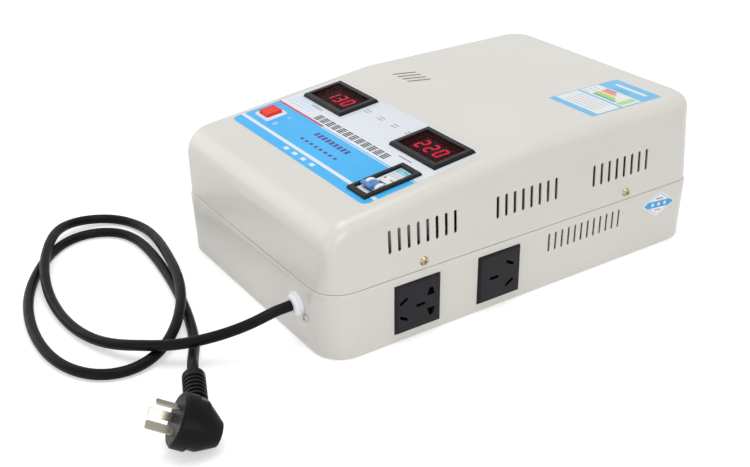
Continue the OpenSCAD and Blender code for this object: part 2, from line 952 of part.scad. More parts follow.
module breaker_body() {
  color([0.9, 0.9, 0.86])
    difference() {
      union() {
        on_panel(breaker_x, breaker_s) {
          translate([0, 0, breaker_face_n - breaker_nose_l])
            block([breaker_w, breaker_face_l, breaker_nose_l]);
          translate([0, 0, breaker_face_n - breaker_depth])
            block([breaker_w, breaker_body_l, breaker_depth - breaker_nose_l]);
        }
        at_toggle()
          rotate([0, 90, 0])
            cylinder(r = breaker_dome_r, h = breaker_w, center = true);
      }
      at_toggle()
        rotate([0, 90, 0])
          cylinder(r = breaker_dome_r + over, h = toggle_slot_w, center = true);
      on_panel(breaker_x, breaker_s)
        for (s = [-1, 1])
          translate([0, s * (breaker_body_l / 2 - breaker_w / 4), breaker_face_n - breaker_nose_l - wall])
            cylinder(d = breaker_w / 3, h = 2 * wall);
    }
}

module breaker_toggle() {
  color([0.25, 0.5, 0.85])
    at_toggle() {
      rotate([0, 90, 0])
        cylinder(r = toggle_hub_r, h = toggle_hub_w, center = true);
      rotate([-toggle_rest_deg, 0, 0]) {
        translate([-toggle_stem_w / 2, -toggle_reach, -toggle_stem_t / 2])
          cube([toggle_stem_w, toggle_reach, toggle_stem_t]);
        translate([0, -toggle_reach, 0])
          rotate([0, 90, 0])
            cylinder(r = toggle_grip_r, h = toggle_grip_w, center = true);
      }
    }
}

// A steel strap that hangs from the underside of the slope and holds the breaker by its ends
module breaker_bracket() {
  inner = breaker_body_l + 2 * fit;
  bottom = breaker_face_n - breaker_depth - fit - strap_t;
  top = -wall - fit;
  color([0.75, 0.75, 0.76])
    on_panel(breaker_x, breaker_s) {
      translate([0, 0, bottom])
        block([strap_w, inner + 2 * strap_t, strap_t]);
      for (s = [-1, 1]) {
        translate([0, s * (inner + strap_t) / 2, bottom])
          block([strap_w, strap_t, top - bottom]);
        translate([0, s * (inner + strap_foot) / 2, top - strap_t])
          block([strap_w, strap_foot, strap_t]);
      }
    }
}

// Outlets

module slots_of(pin_x, gap, length, first) {
  translate([first, 0])
    rotate(90)
      slot_2d(length, pin_slot_t);
  for (s = [-1, 1])
    translate([first + gap, s * pin_x])
      rotate(90 - s * pin_skew)
        slot_2d(length, pin_slot_t);
}

module universal_slots() {
  mirror([1, 0])
    slots_of(small_pin_x, small_pin_gap, small_slot_l, small_earth_share * outlet_w);
  for (s = [-1, 1])
    translate([two_pin_y, s * two_pin_z])
      polygon([[-two_pin_wide / 2, -s * two_pin_h / 2], [two_pin_wide / 2, -s * two_pin_h / 2],
        [two_pin_narrow / 2, s * two_pin_h / 2], [-two_pin_narrow / 2, s * two_pin_h / 2]]);
}

module three_pin_slots() {
  slots_of(large_pin_x, large_pin_gap, large_slot_l, -large_earth_share * outlet_w);
}

module outlet_face(y) {
  color([0.2, 0.2, 0.23])
    on_side(y, outlet_z, body_w / 2 - base_side_draft - outlet_sink)
      difference() {
        bevel_block(outlet_w, outlet_w, outlet_t, outlet_bevel);
        translate([0, 0, -over])
          linear_extrude(outlet_t + 2 * over)
            children();
      }
}

module universal_outlet() {
  outlet_face(outlet_y[0])
    universal_slots();
}

module three_pin_outlet() {
  outlet_face(outlet_y[1])
    three_pin_slots();
}

module outlet_box(y) {
  on_side(y, outlet_z, body_w / 2 - base_side_draft - outlet_sink - outlet_box_depth)
    difference() {
      block([outlet_box_w, outlet_box_w, outlet_box_depth]);
      translate([0, 0, outlet_box_depth - slot_depth])
        linear_extrude(slot_depth + over)
          children();
    }
}

module outlet_boxes() {
  color([0.85, 0.85, 0.83]) {
    outlet_box(outlet_y[0])
      universal_slots();
    outlet_box(outlet_y[1])
      three_pin_slots();
  }
}

module outlet_terminals() {
  back = body_w / 2 - base_side_draft - outlet_sink - outlet_box_depth - tab_size.z;
  color([0.8, 0.65, 0.3])
    for (y = outlet_y, i = [-1 : 1])
      on_side(y, outlet_z, back)
        translate([i * outlet_box_w / 4, 0, 0])
          block(tab_size);
}

// Cord bushing, earth screw, cord and plug

module cord_bushing() {
  color([0.94, 0.94, 0.95])
    on_front(body_w / 2 - bushing_inset, bushing_z)
      difference() {
        union() {
          cylinder(d = bushing_d, h = bushing_flange);
          translate([0, 0, bushing_flange])
            cylinder(d1 = bushing_d * bushing_taper_share, d2 = bushing_nose_d, h = bushing_nose);
          translate([0, 0, -bushing_inner])
            cylinder(d = bushing_thread_d, h = bushing_inner);
        }
        translate([0, 0, -bushing_inner - over])
          cylinder(d = cord_d - over, h = bushing_inner + bushing_flange + bushing_nose + 2 * over);
      }
}

module bushing_nut() {
  color([0.9, 0.9, 0.9])
    on_front(body_w / 2 - bushing_inset, bushing_z)
      translate([0, 0, -wall - nut_h - fit])
        difference() {
          cylinder(d = nut_d, h = nut_h, $fn = 6);
          translate([0, 0, -over])
            cylinder(d = bushing_thread_d + 2 * slide_fit, h = nut_h + 2 * over);
        }
}

module earth_screw() {
  color([0.75, 0.75, 0.77])
    on_front(body_w / 2 - earth_inset, earth_z)
      pan_screw(screw_d, screw_l, earth_head_d, earth_head_h);
}

function front_point(x, z, out) = [
  x, -front_y(z) - out * cos(base_front_tilt), z - out * sin(base_front_tilt)
];

// Axis of the plug's strain relief, at a distance from the middle of the plug
function relief_point(along) =
  let (y = -plug_neck * cos(plug_tilt), z = -plug_neck * sin(plug_tilt),
    x = along * cos(plug_dip) + z * sin(plug_dip))
  [
    plug_x + x * cos(plug_heading) - y * sin(plug_heading),
    plug_y + x * sin(plug_heading) + y * cos(plug_heading),
    plug_z + z * cos(plug_dip) - along * sin(plug_dip)
  ];

function cord_points() =
  let (x = body_w / 2 - bushing_inset, nose = bushing_flange + bushing_nose)
  concat([for (i = [0 : 2]) front_point(x, bushing_z, nose + i * cord_straight)], cord_route,
    [for (i = [2 : -1 : 0]) relief_point(relief_l + i * cord_straight)]);

module power_cord() {
  color([0.08, 0.08, 0.09])
    tube(smooth(cord_points(), cord_steps), cord_d, cord_sides);
}

module at_plug() {
  translate([plug_x, plug_y, plug_z])
    rotate([plug_tilt, plug_dip, plug_heading])
      children();
}

// A thin disc of the plug's body, at a depth behind its face
module plug_slice(depth, d) {
  translate([0, over / 2 - depth, 0])
    rotate([90, 0, 0])
      cylinder(d = d, h = over / 2, $fn = hull_fn);
}

module plug_body() {
  color([0.11, 0.11, 0.12])
    at_plug() {
      rotate([90, 0, 0]) {
        cylinder(d1 = plug_d - 2 * plug_round, d2 = plug_d, h = plug_round);
        translate([0, 0, plug_round])
          cylinder(d = plug_d, h = plug_flange - plug_round);
      }
      hull() {
        plug_slice(plug_flange, plug_d - 2 * plug_round);
        plug_slice(plug_shoulder, plug_shoulder_d);
        translate([plug_back_x, 0, 0]) {
          plug_slice(plug_depth - plug_back_round, plug_back_d + plug_back_round);
          plug_slice(plug_depth, plug_back_d);
        }
        translate([relief_root, -plug_neck, 0])
          rotate([0, 90, 0])
            cylinder(d = relief_rib_d + plug_round, h = relief_collar_l, $fn = hull_fn);
      }
      translate([0, -plug_neck, 0])
        rotate([0, 90, 0]) {
          cylinder(d = relief_d, h = relief_l);
          translate([0, 0, relief_l - relief_collar_l])
            cylinder(d = relief_rib_d, h = relief_collar_l);
          for (i = [1 : relief_ribs])
            translate([0, 0, relief_l - relief_collar_l - i * relief_pitch])
              cylinder(d = relief_rib_d, h = relief_rib_l);
        }
    }
}

module plug_pin(length) {
  half = plug_pin_w / 2;
  linear_extrude(plug_pin_t, center = true)
    polygon([[-half, 0], [half, 0], [half, length - plug_pin_bevel], [half - plug_pin_bevel, length],
      [plug_pin_bevel - half, length], [-half, length - plug_pin_bevel]]);
}

module plug_pins() {
  color([0.78, 0.77, 0.7])
    at_plug()
      rotate([0, plug_pin_turn, 0]) {
        translate([-earth_pin_x, 0, 0])
          plug_pin(plug_pin_l + earth_pin_extra);
        for (s = [-1, 1])
          translate([line_pin_x, 0, s * line_pin_z])
            rotate([0, s * pin_skew, 0])
              plug_pin(plug_pin_l);
      }
}

// Transformer and drive

module chassis_plate() {
  color([0.72, 0.73, 0.74])
    difference() {
      translate([0, ring_y, plate_z])
        linear_extrude(plate_t)
          rounded_rect(plate_w, plate_l, plate_hole);
      each_chassis_screw()
        translate([0, 0, -over])
          cylinder(d = screw_d + 2 * fit, h = plate_t + 2 * over);
      for (i = [0 : clamp_bolt_count - 1])
        translate([0, ring_y, plate_z - over])
          rotate([0, 0, 45 + i * 360 / clamp_bolt_count])
            translate([clamp_bolt_r, 0, 0])
              cylinder(d = clamp_bolt_d + 2 * slide_fit, h = plate_t + 2 * over);
    }
}

module chassis_screws() {
  color([0.7, 0.7, 0.72])
    each_chassis_screw()
      translate([0, 0, plate_t])
        pan_screw(screw_d, screw_l, screw_head_d, screw_head_h);
}

module flat_ring(outer_d, inner_d, h) {
  rotate_extrude()
    translate([inner_d / 2, 0])
      square([(outer_d - inner_d) / 2, h]);
}

module ring_pad() {
  color([0.25, 0.25, 0.25])
    translate([0, ring_y, plate_z + plate_t])
      flat_ring(ring_d - 2 * ring_round, ring_hole_d + ring_round, pad_t);
}

module ring_core() {
  gap = winding_t + core_gap;
  color([0.45, 0.45, 0.47])
    translate([0, ring_y, ring_z + gap])
      flat_ring(ring_d - 2 * gap, ring_hole_d + 2 * gap, ring_h - 2 * gap);
}

module ring_winding() {
  w = (ring_d - ring_hole_d) / 2;
  color([0.7, 0.38, 0.16])
    translate([0, ring_y, ring_z])
      rotate_extrude()
        translate([ring_hole_d / 2 + w / 2, ring_h / 2])
          difference() {
            rounded_rect(w, ring_h, ring_round);
            square([w - 2 * winding_t, ring_h - 2 * winding_t], center = true);
          }
}

module brush_track() {
  color([0.85, 0.5, 0.25])
    translate([0, ring_y, ring_z + ring_h])
      flat_ring(ring_d - 2 * track_inset, ring_d - 2 * track_inset - 2 * track_w, track_t);
}

module clamp_pad() {
  color([0.3, 0.3, 0.28])
    translate([0, ring_y, ring_z + ring_h])
      flat_ring(clamp_d - clamp_pad_t, ring_hole_d + clamp_pad_t, clamp_pad_t);
}

module clamp_plate() {
  color([0.7, 0.71, 0.73])
    difference() {
      union() {
        translate([0, ring_y, clamp_z])
          cylinder(d = clamp_d, h = clamp_t);
        translate([0, ring_y, clamp_z - bush_h])
          cylinder(d = bush_d, h = 2 * bush_h);
      }
      translate([0, ring_y, clamp_z - bush_h - over])
        cylinder(d = shaft_d + 2 * slide_fit, h = 2 * bush_h + 2 * over);
      for (i = [0 : clamp_bolt_count - 1])
        translate([0, ring_y, clamp_z - over])
          rotate([0, 0, 45 + i * 360 / clamp_bolt_count])
            translate([clamp_bolt_r, 0, 0])
              cylinder(d = clamp_bolt_d + 2 * slide_fit, h = clamp_t + 2 * over);
    }
}

module clamp_bolts() {
  color([0.6, 0.6, 0.62])
    for (i = [0 : clamp_bolt_count - 1])
      translate([0, ring_y, plate_z])
        rotate([0, 0, 45 + i * 360 / clamp_bolt_count])
          translate([clamp_bolt_r, 0, 0]) {
            cylinder(d = clamp_bolt_d, h = clamp_z + clamp_t - plate_z);
            translate([0, 0, clamp_z + clamp_t - plate_z])
              cylinder(d = clamp_head_d, h = clamp_head_h, $fn = 6);
            translate([0, 0, -clamp_head_h])
              cylinder(d = clamp_head_d, h = clamp_head_h, $fn = 6);
          }
}

module drive_motor() {
  color([0.55, 0.56, 0.58])
    translate([0, ring_y, plate_z + plate_t])
      difference() {
        union() {
          cylinder(d = motor_d, h = motor_h);
          translate([0, 0, motor_h])
            cylinder(d = motor_d / 3, h = shaft_root / 2);
        }
        translate([0, 0, motor_h - shaft_root])
          cylinder(d = shaft_d + 2 * slide_fit, h = 2 * shaft_root);
      }
}

arm_z = clamp_z + bush_h + arm_gap;

module brush_shaft() {
  root_z = plate_z + plate_t + motor_h - shaft_root + fit;
  color([0.8, 0.8, 0.82])
    translate([0, ring_y, root_z])
      cylinder(d = shaft_d, h = arm_z + hub_h + over - root_z);
}

track_mid = ring_d / 2 - track_inset - track_w / 2;

module brush_arm() {
  color([0.8, 0.8, 0.8])
    translate([0, ring_y, arm_z])
      difference() {
        union() {
          cylinder(d = hub_d, h = hub_h);
          translate([-arm_w / 2, 0, 0])
            cube([arm_w, track_mid, arm_t]);
          translate([-arm_w / 2, track_mid - holder_l / 2, 0])
            cube([arm_w, holder_l, hub_h]);
        }
        translate([0, 0, -over])
          cylinder(d = shaft_d + 2 * slide_fit, h = hub_h + 2 * over);
        translate([0, track_mid, -over])
          block([brush_size.x + 2 * slide_fit, brush_size.y + 2 * slide_fit, hub_h + over - brush_roof]);
      }
}

module carbon_brush() {
  foot = ring_z + ring_h + track_t + brush_gap;
  color([0.18, 0.18, 0.19])
    translate([0, ring_y + track_mid, foot])
      block([brush_size.x, brush_size.y, arm_z + arm_t - foot]);
}

module travel_stop() {
  color([0.65, 0.65, 0.68])
    translate([0, ring_y - stop_r, clamp_z + clamp_t])
      cylinder(d = stop_d, h = arm_z + arm_t - clamp_z - clamp_t);
}

// Control electronics

module control_board() {
  color([0.1, 0.38, 0.2])
    difference() {
      translate([board_x, board_y, board_z])
        block([board_w, board_l, board_t]);
      each_board_screw()
        translate([0, 0, -over])
          cylinder(d = screw_m3 + 2 * fit, h = board_t + 2 * over);
    }
}

module board_screws() {
  color([0.75, 0.75, 0.76])
    each_board_screw()
      translate([0, 0, board_t])
        pan_screw(screw_m3, board_z - wall, screw_m3_head_d, screw_m3_head_h);
}

module on_board(x, y) {
  translate([board_x + x, board_y + y, board_z + board_t])
    children();
}

module board_relays() {
  color([0.15, 0.3, 0.65])
    for (i = [0 : relay_count - 1])
      on_board(relay_x + (i - 1) * (relay_size.x + relay_gap), relay_y)
        block(relay_size);
}

module board_capacitors() {
  color([0.15, 0.15, 0.2])
    for (i = [0 : 1])
      on_board(cap_x + i * cap_pitch, cap_y)
        cylinder(d = cap_d, h = cap_h);
}

module board_transformer() {
  color([0.3, 0.3, 0.32])
    on_board(coil_x, coil_y) {
      block([small_coil.x, coil_core_t, small_coil.z]);
      translate([0, 0, small_coil.z * (1 - coil_h_share) / 2])
        block([small_coil.x * coil_w_share, small_coil.y, small_coil.z * coil_h_share]);
    }
}

module heat_sink() {
  pitch = (sink_size.x - sink_fin_t) / (sink_fins - 1);
  color([0.7, 0.71, 0.73])
    on_board(sink_x, sink_y) {
      translate([0, sink_base_t / 2 - sink_size.y / 2, 0])
        block([sink_size.x, sink_base_t, sink_size.z]);
      for (i = [0 : sink_fins - 1])
        translate([(i - (sink_fins - 1) / 2) * pitch, 0, 0])
          block([sink_fin_t, sink_size.y, sink_size.z]);
    }
}

module output_relay() {
  color([0.85, 0.85, 0.82])
    translate([out_relay_x, out_relay_y, wall]) {
      block([out_relay.x, out_relay.y + 2 * out_relay_foot, out_relay_foot]);
      block(out_relay);
    }
}

module terminal_block() {
  bay = (block_size.y - block_wall) / block_poles;
  color([0.15, 0.15, 0.16])
    translate([block_x, block_y, wall])
      difference() {
        block(block_size);
        for (i = [0 : block_poles - 1])
          translate([0, (i - (block_poles - 1) / 2) * bay, block_size.z - block_deep])
            block([block_size.x + 2 * over, bay - block_wall, block_deep + over]);
      }
}

// Wires

module live_wires() {
  color([0.75, 0.1, 0.1])
    for (i = [0, 1])
      translate([0, 0, i * (wire_d + fit)])
        tube(smooth(live_route, wire_steps), wire_d, wire_sides);
}

module neutral_wires() {
  color([0.1, 0.25, 0.7])
    tube(smooth(neutral_route, wire_steps), wire_d, wire_sides);
}

module earth_wires() {
  color([0.55, 0.75, 0.15])
    tube(smooth(earth_route, wire_steps), wire_d, wire_sides);
}

// Printed stickers

module top_label() {
  color([0.9, 0.95, 1])
    translate([top_label_x, top_label_y, top_h])
      block([top_label_w, top_label_l, sticker_t]);
}

module check_sticker() {
  color([0.85, 0.92, 1])
    on_side(sticker_y, sticker_z, base_x(sticker_z))
      rotate([base_side_tilt, 0, 0])
        rotate([0, 0, sticker_tilt])
          linear_extrude(sticker_t)
            polygon([[-sticker_l / 2, 0], [0, -sticker_w / 2], [sticker_l / 2, 0], [0, sticker_w / 2]]);
}

base_pan();
top_cover();
cover_screws();
panel_label();
meter_bezel(meter_in_x);  // input_meter_bezel
meter_window(meter_in_x);  // input_meter_window
meter_digits(meter_in_x, [1, 3, 0]);  // input_meter_digits
meter_board(meter_in_x);  // input_meter_board
meter_bezel(meter_out_x);  // output_meter_bezel
meter_window(meter_out_x);  // output_meter_window
meter_digits(meter_out_x, [2, 2, 0]);  // output_meter_digits
meter_board(meter_out_x);  // output_meter_board
button_frame();
button_cap();
button_switch();
breaker_frame();
breaker_body();
breaker_toggle();
breaker_bracket();
universal_outlet();
three_pin_outlet();
outlet_boxes();
outlet_terminals();
cord_bushing();
bushing_nut();
earth_screw();
power_cord();
plug_body();
plug_pins();
chassis_plate();
chassis_screws();
ring_pad();
ring_core();
ring_winding();
brush_track();
clamp_pad();
clamp_plate();
clamp_bolts();
drive_motor();
brush_shaft();
brush_arm();
carbon_brush();
travel_stop();
control_board();
board_screws();
board_relays();
board_capacitors();
board_transformer();
heat_sink();
output_relay();
terminal_block();
live_wires();
neutral_wires();
earth_wires();
top_label();
check_sticker();
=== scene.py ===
# Studio scene of a voltage stabilizer with its mains cord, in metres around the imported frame
from math import cos, radians, sin

import bpy
from mathutils import Matrix, Vector


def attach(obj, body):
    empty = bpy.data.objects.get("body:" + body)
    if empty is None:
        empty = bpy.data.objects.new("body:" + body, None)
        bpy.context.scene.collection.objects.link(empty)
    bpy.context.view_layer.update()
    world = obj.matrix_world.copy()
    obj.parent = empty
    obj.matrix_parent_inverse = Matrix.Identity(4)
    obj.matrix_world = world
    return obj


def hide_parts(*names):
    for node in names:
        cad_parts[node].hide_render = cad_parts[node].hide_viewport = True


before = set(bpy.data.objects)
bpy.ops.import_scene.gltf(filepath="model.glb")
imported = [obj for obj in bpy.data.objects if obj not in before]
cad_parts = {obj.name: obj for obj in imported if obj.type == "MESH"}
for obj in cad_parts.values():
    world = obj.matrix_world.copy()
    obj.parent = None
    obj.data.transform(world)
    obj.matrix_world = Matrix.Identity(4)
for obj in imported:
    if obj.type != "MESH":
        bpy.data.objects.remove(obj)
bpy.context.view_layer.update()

scene = bpy.context.scene
MM = 0.001

# Camera, at the photograph's viewing angle
IMAGE_W = 750
FOCAL_PX = 1084.12
SENSOR_MM = 36
VIEW_AZIMUTH = radians(56.953)
VIEW_ELEVATION = radians(27.532)
VIEW_ROLL = radians(-0.8748)
VIEW_DISTANCE = 1.04903
VIEW_SIDE = -0.061362
VIEW_RISE = 0.004334


def add_camera():
    back = Vector((sin(VIEW_AZIMUTH) * cos(VIEW_ELEVATION),
                   -cos(VIEW_AZIMUTH) * cos(VIEW_ELEVATION),
                   sin(VIEW_ELEVATION)))
    right = Vector((cos(VIEW_AZIMUTH), sin(VIEW_AZIMUTH), 0))
    up = back.cross(right)
    place = back * VIEW_DISTANCE + right * VIEW_SIDE + up * VIEW_RISE
    across = right * cos(VIEW_ROLL) + up * sin(VIEW_ROLL)
    rise = up * cos(VIEW_ROLL) - right * sin(VIEW_ROLL)
    lens = bpy.data.cameras.new("camera")
    lens.sensor_width = SENSOR_MM
    lens.lens = FOCAL_PX * SENSOR_MM / IMAGE_W
    camera = bpy.data.objects.new("camera", lens)
    scene.collection.objects.link(camera)
    camera.matrix_world = Matrix.Translation(place) @ Matrix((across, rise, back)).transposed().to_4x4()
    scene.camera = camera


add_camera()

# Mains cord, on the same route as its CAD solid, from the bushing to the plug
CORD_D = 0.009
CORD_ORDER = 4
CORD_STEPS = 10
CORD_ROUND_STEPS = 6
UNIT_RADIUS = 1
CORD_ROUTE_MM = [
    (85.5, -210.32, 38.26), (85.5, -218.32, 37.96), (85.5, -226.31, 37.66),
    (84, -243, 33), (77, -263, 27), (66, -282, 21), (53, -302, 16.5), (36, -321, 15),
    (10, -340, 8.5), (-32, -353, 4.6), (-88, -354, 5), (-138, -343, 12), (-180, -322, 15.5),
    (-208, -302, 13), (-220, -273, 7.5), (-209, -244, 4.8), (-178, -230, 4.6), (-140, -231, 8.5),
    (-92, -240, 13.5), (-42, -250, 14.5), (6, -271, 14.5), (37, -297, 8), (52, -327, 4.6),
    (46, -358, 4.6), (18, -378, 4.6), (-22, -384, 4.6), (-68, -379, 4.6), (-112, -366, 4.6),
    (-152, -343, 4.6), (-184, -316, 4.6), (-197, -286, 4.6), (-184, -255, 4.6), (-152, -243, 4.6),
    (-92, -246.5, 4.6), (-28, -256, 4.6), (38, -274, 4.6), (68, -290, 11),
    (89.16, -299.61, 17.62), (96.58, -302.61, 17.62), (103.99, -305.61, 17.62),
]


def add_cord():
    """An even cubic curve that starts and ends on the route's first and last points. Its section is a round
    of unit radius that each point's own radius scales, so that the curve's box fits the cord."""
    route = [Vector(p) * MM for p in CORD_ROUTE_MM]
    route = [2 * route[0] - route[1]] + route + [2 * route[-1] - route[-2]]
    curve = bpy.data.curves.new("mains_cord", "CURVE")
    curve.dimensions = "3D"
    curve.bevel_depth = UNIT_RADIUS
    curve.bevel_resolution = CORD_ROUND_STEPS
    curve.use_fill_caps = True
    line = curve.splines.new("NURBS")
    line.points.add(len(route) - 1)
    for point, place in zip(line.points, route):
        point.co = (*place, 1)
        point.radius = CORD_D / 2
    line.order_u = CORD_ORDER
    line.resolution_u = CORD_STEPS
    cord = bpy.data.objects.new("mains_cord", curve)
    scene.collection.objects.link(cord)
    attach(cord, "root")
    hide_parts("power_cord")
    return cord


cord = add_cord()

# Places in millimetres, and turns, of the surfaces that carry a print or a pattern
TOP_H = 141
SLOPE = radians(6.7)
PANEL = (0, 0, TOP_H)
PANEL_TURN = Matrix.Rotation(SLOPE, 3, "X")
TOP_LABEL = (81.8, 124.8, TOP_H)
STICKER = (131.4, 155.4, 44.8)
STICKER_TILT = radians(-5)
RING_CENTRE = (0, 88, 0)


class Finish:
    """One material: a Principled shader, and short calls for the nodes that feed it."""

    def __init__(self, name, metallic=0.0, **fixed):
        self.material = bpy.data.materials.new(name)
        self.material.use_nodes = True
        self.tree = self.material.node_tree
        self.shader = self.tree.nodes["Principled BSDF"]
        self.point = self.add("TexCoord").outputs["Object"]
        self.shader.inputs["Metallic"].default_value = metallic
        for socket, value in fixed.items():
            self.shader.inputs[socket.replace("_", " ")].default_value = value

    def add(self, kind, inputs=(), **settings):
        node = self.tree.nodes.new("ShaderNode" + kind)
        for name, setting in settings.items():
            setattr(node, name, setting)
        for socket, value in dict(inputs).items():
            self.feed(node.inputs[socket], value)
        return node

    def feed(self, socket, value):
        if isinstance(value, bpy.types.NodeSocket):
            self.tree.links.new(value, socket)
        elif socket.type == "RGBA":
            socket.default_value = (*value[:3], 1)
        else:
            socket.default_value = value

    def set(self, socket, value):
        self.feed(self.shader.inputs[socket], value)

    def math(self, operation, *values):
        return self.add("Math", enumerate(values), operation=operation).outputs[0]

    def noise(self, scale, detail=2.0):
        inputs = {"Vector": self.point, "Scale": scale, "Detail": detail}
        return self.add("TexNoise", inputs).outputs["Fac"]

    def spread(self, value, low, high, start=0.3, end=0.7):
        """Maps value, from start to end, onto low to high."""
        inputs = {"Value": value, "From Min": start, "From Max": end, "To Min": low, "To Max": high}
        return self.add("MapRange", inputs).outputs[0]

    def mix(self, share, below, above):
        return self.add("MixRGB", {"Fac": share, "Color1": below, "Color2": above}).outputs[0]

    def tone(self, colour, swing, scale):
        """The colour, a little darker and lighter from place to place."""
        darker = [c * (1 - swing) for c in colour]
        lighter = [c * (1 + swing) for c in colour]
        return self.mix(self.spread(self.noise(scale), 0, 1), darker, lighter)

    def rough(self, low, high, scale):
        self.set("Roughness", self.spread(self.noise(scale, 4.0), low, high))

    def bump(self, height, distance, strength=1.0):
        inputs = {"Height": height, "Distance": distance, "Strength": strength}
        if self.shader.inputs["Normal"].links:
            inputs["Normal"] = self.shader.inputs["Normal"].links[0].from_socket
        self.set("Normal", self.add("Bump", inputs).outputs[0])

    def place(self, origin, turn=Matrix.Identity(3)):
        """Millimetres along a surface's own axes, from its origin."""
        inputs = {
            "Vector": self.point,
            "Location": [x * MM for x in origin],
            "Rotation": turn.to_euler("XYZ"),
            "Scale": (MM, MM, MM),
        }
        moved = self.add("Mapping", inputs, vector_type="TEXTURE").outputs[0]
        return self.add("SeparateXYZ", {"Vector": moved}).outputs

    def within(self, value, low, high):
        return self.math("COMPARE", value, (low + high) / 2, (high - low) / 2)

    def box(self, x, y, left, right, front, rear):
        return self.both(self.within(x, left, right), self.within(y, front, rear))

    def both(self, a, b):
        return self.math("MULTIPLY", a, b)

    def ring(self, x, y, centre, inside, outside):
        """The band between two radii round a centre."""
        squares = [self.math("POWER", self.math("SUBTRACT", value, middle), 2)
                   for value, middle in zip((x, y), centre)]
        return self.within(self.math("SQRT", self.math("ADD", *squares)), inside, outside)

    def ticks(self, value, start, pitch, share):
        """Even stripes across value, one each pitch, that fill the share of it."""
        steps = self.math("DIVIDE", self.math("SUBTRACT", value, start), pitch)
        return self.math("LESS_THAN", self.math("FRACT", steps), share)

    def row(self, x, y, area, along, pitch, share):
        """Stripes in an area, that follow each other along x from its left or along y from its front."""
        left, right, front, rear = area
        value, start = (x, left) if along == "x" else (y, front)
        return self.both(self.box(x, y, left, right, front, rear), self.ticks(value, start, pitch, share))

    def blocks(self, field, x, y, shapes):
        """The field, with plain blocks of ink printed on it one after the other."""
        for left, right, front, rear, ink in shapes:
            field = self.mix(self.box(x, y, left, right, front, rear), field, ink)
        return field


def moulded(name, colour, swing=0.04, rough=(0.34, 0.46), grain=1600, depth=0.00003, **fixed):
    """Moulded plastic with a fine spark texture."""
    finish = Finish(name, **fixed)
    finish.set("Base Color", finish.tone(colour, swing, 40))
    finish.rough(*rough, 90)
    finish.bump(finish.noise(grain, 3.0), depth)
    return finish


def metal(name, colour, rough=(0.22, 0.4), swing=0.08, scale=160, depth=0.00002):
    """Plated or milled metal with fine handling marks."""
    finish = Finish(name, metallic=1.0)
    finish.set("Base Color", finish.tone(colour, swing, scale))
    finish.rough(*rough, scale * 2)
    finish.bump(finish.noise(scale * 12, 2.0), depth)
    return finish


# Shell colour and inks
IVORY = (0.735, 0.712, 0.662)
PRINT_WHITE = (0.82, 0.86, 0.92)
SKY_BLUE = (0.038, 0.48, 0.96)
LINE_RED = (0.66, 0.015, 0.02)
INK = (0.012, 0.014, 0.02)
NAVY = (0.045, 0.03, 0.26)
PALE_BLUE = (0.42, 0.72, 0.92)
CAPTION_GREY = (0.36, 0.38, 0.42)


def casing_finish():
    """Ivory semi-gloss shell with a faint orange peel and slightly uneven gloss."""
    finish = Finish("ivory_casing", Coat_Weight=0.35, Coat_Roughness=0.14)
    wide = finish.tone(IVORY, 0.018, 9)
    speckle = finish.spread(finish.noise(900, 3.0), 0, 0.10, 0.45, 0.75)
    finish.set("Base Color", finish.mix(speckle, wide, [c * 0.9 for c in IVORY]))
    finish.rough(0.30, 0.40, 35)
    finish.bump(finish.noise(320, 2.0), 0.00005)
    finish.bump(finish.noise(26, 1.0), 0.00035, 0.6)
    return finish


def panel_finish():
    """Printed vinyl on the slope: a sky-blue field with a white stripe, and a pale field behind it.
    Its print is placed in millimetres, x across the panel and s down its slope."""
    finish = Finish("panel_print", Coat_Weight=0.1, Coat_Roughness=0.2, Specular_IOR_Level=0.35)
    x, y, _ = finish.place(PANEL, PANEL_TURN)
    s = finish.math("MULTIPLY", y, -1)
    pale_rear, pale_front, blue_rear = 40, 104, 106.6
    shaded = [c * 0.93 for c in PRINT_WHITE]
    field = finish.mix(finish.spread(s, 0, 1, pale_rear, pale_front), shaded, PRINT_WHITE)
    blue = finish.tone(SKY_BLUE, 0.04, 14)
    field = finish.mix(finish.math("GREATER_THAN", s, blue_rear), field, blue)
    field = finish.blocks(field, x, s, (
        (-112, 112, 143.6, 147.2, PRINT_WHITE),
        (-112, -32, 105.2, 107.4, LINE_RED),
        (-32, 112, 107.8, 108.7, PRINT_WHITE),
        (-79, -61, 88.6, 90.2, CAPTION_GREY),
        (64, 82, 89.8, 91.4, CAPTION_GREY),
        (-70.8, -69.8, 117, 121, PRINT_WHITE),
    ))
    # A row of ruled blocks on the pale field
    blocks = finish.row(x, s, (-54, 61.4, 95.2, 103.8), "x", 9.65, 0.8)
    blocks = finish.both(blocks, finish.ticks(s, 95.2, 2.2, 0.68))
    field = finish.mix(blocks, field, INK)
    # Rows of dashes on the blue field, and rules on the pale one
    for area, along, pitch, share, ink in (
        ((-24, 29.6, 115.6, 121.4), "x", 6.2, 0.66, NAVY),
        ((-27, 31, 130.4, 133.6), "x", 7.8, 0.5, NAVY),
        ((-22, 31, 149.6, 153.4), "x", 14.4, 0.42, PRINT_WHITE),
        ((-106, -68, 82, 101), "y", 4.2, 0.24, PALE_BLUE),
    ):
        field = finish.mix(finish.row(x, s, area, along, pitch, share), field, ink)
    # Small dashes in two rows, in place of a caption
    pips = finish.both(finish.box(x, s, -33, 37, 58.6, 63.6), finish.ticks(x, -32, 21.5, 0.38))
    pips = finish.both(pips, finish.ticks(s, 58.6, 3.4, 0.4))
    field = finish.mix(pips, field, CAPTION_GREY)
    # Round off mark beside the button
    field = finish.mix(finish.ring(x, s, (-70.3, 134), 1.6, 2.5), field, PRINT_WHITE)
    finish.set("Base Color", field)
    finish.rough(0.30, 0.42, 60)
    finish.bump(finish.noise(700, 2.0), 0.00002)
    return finish


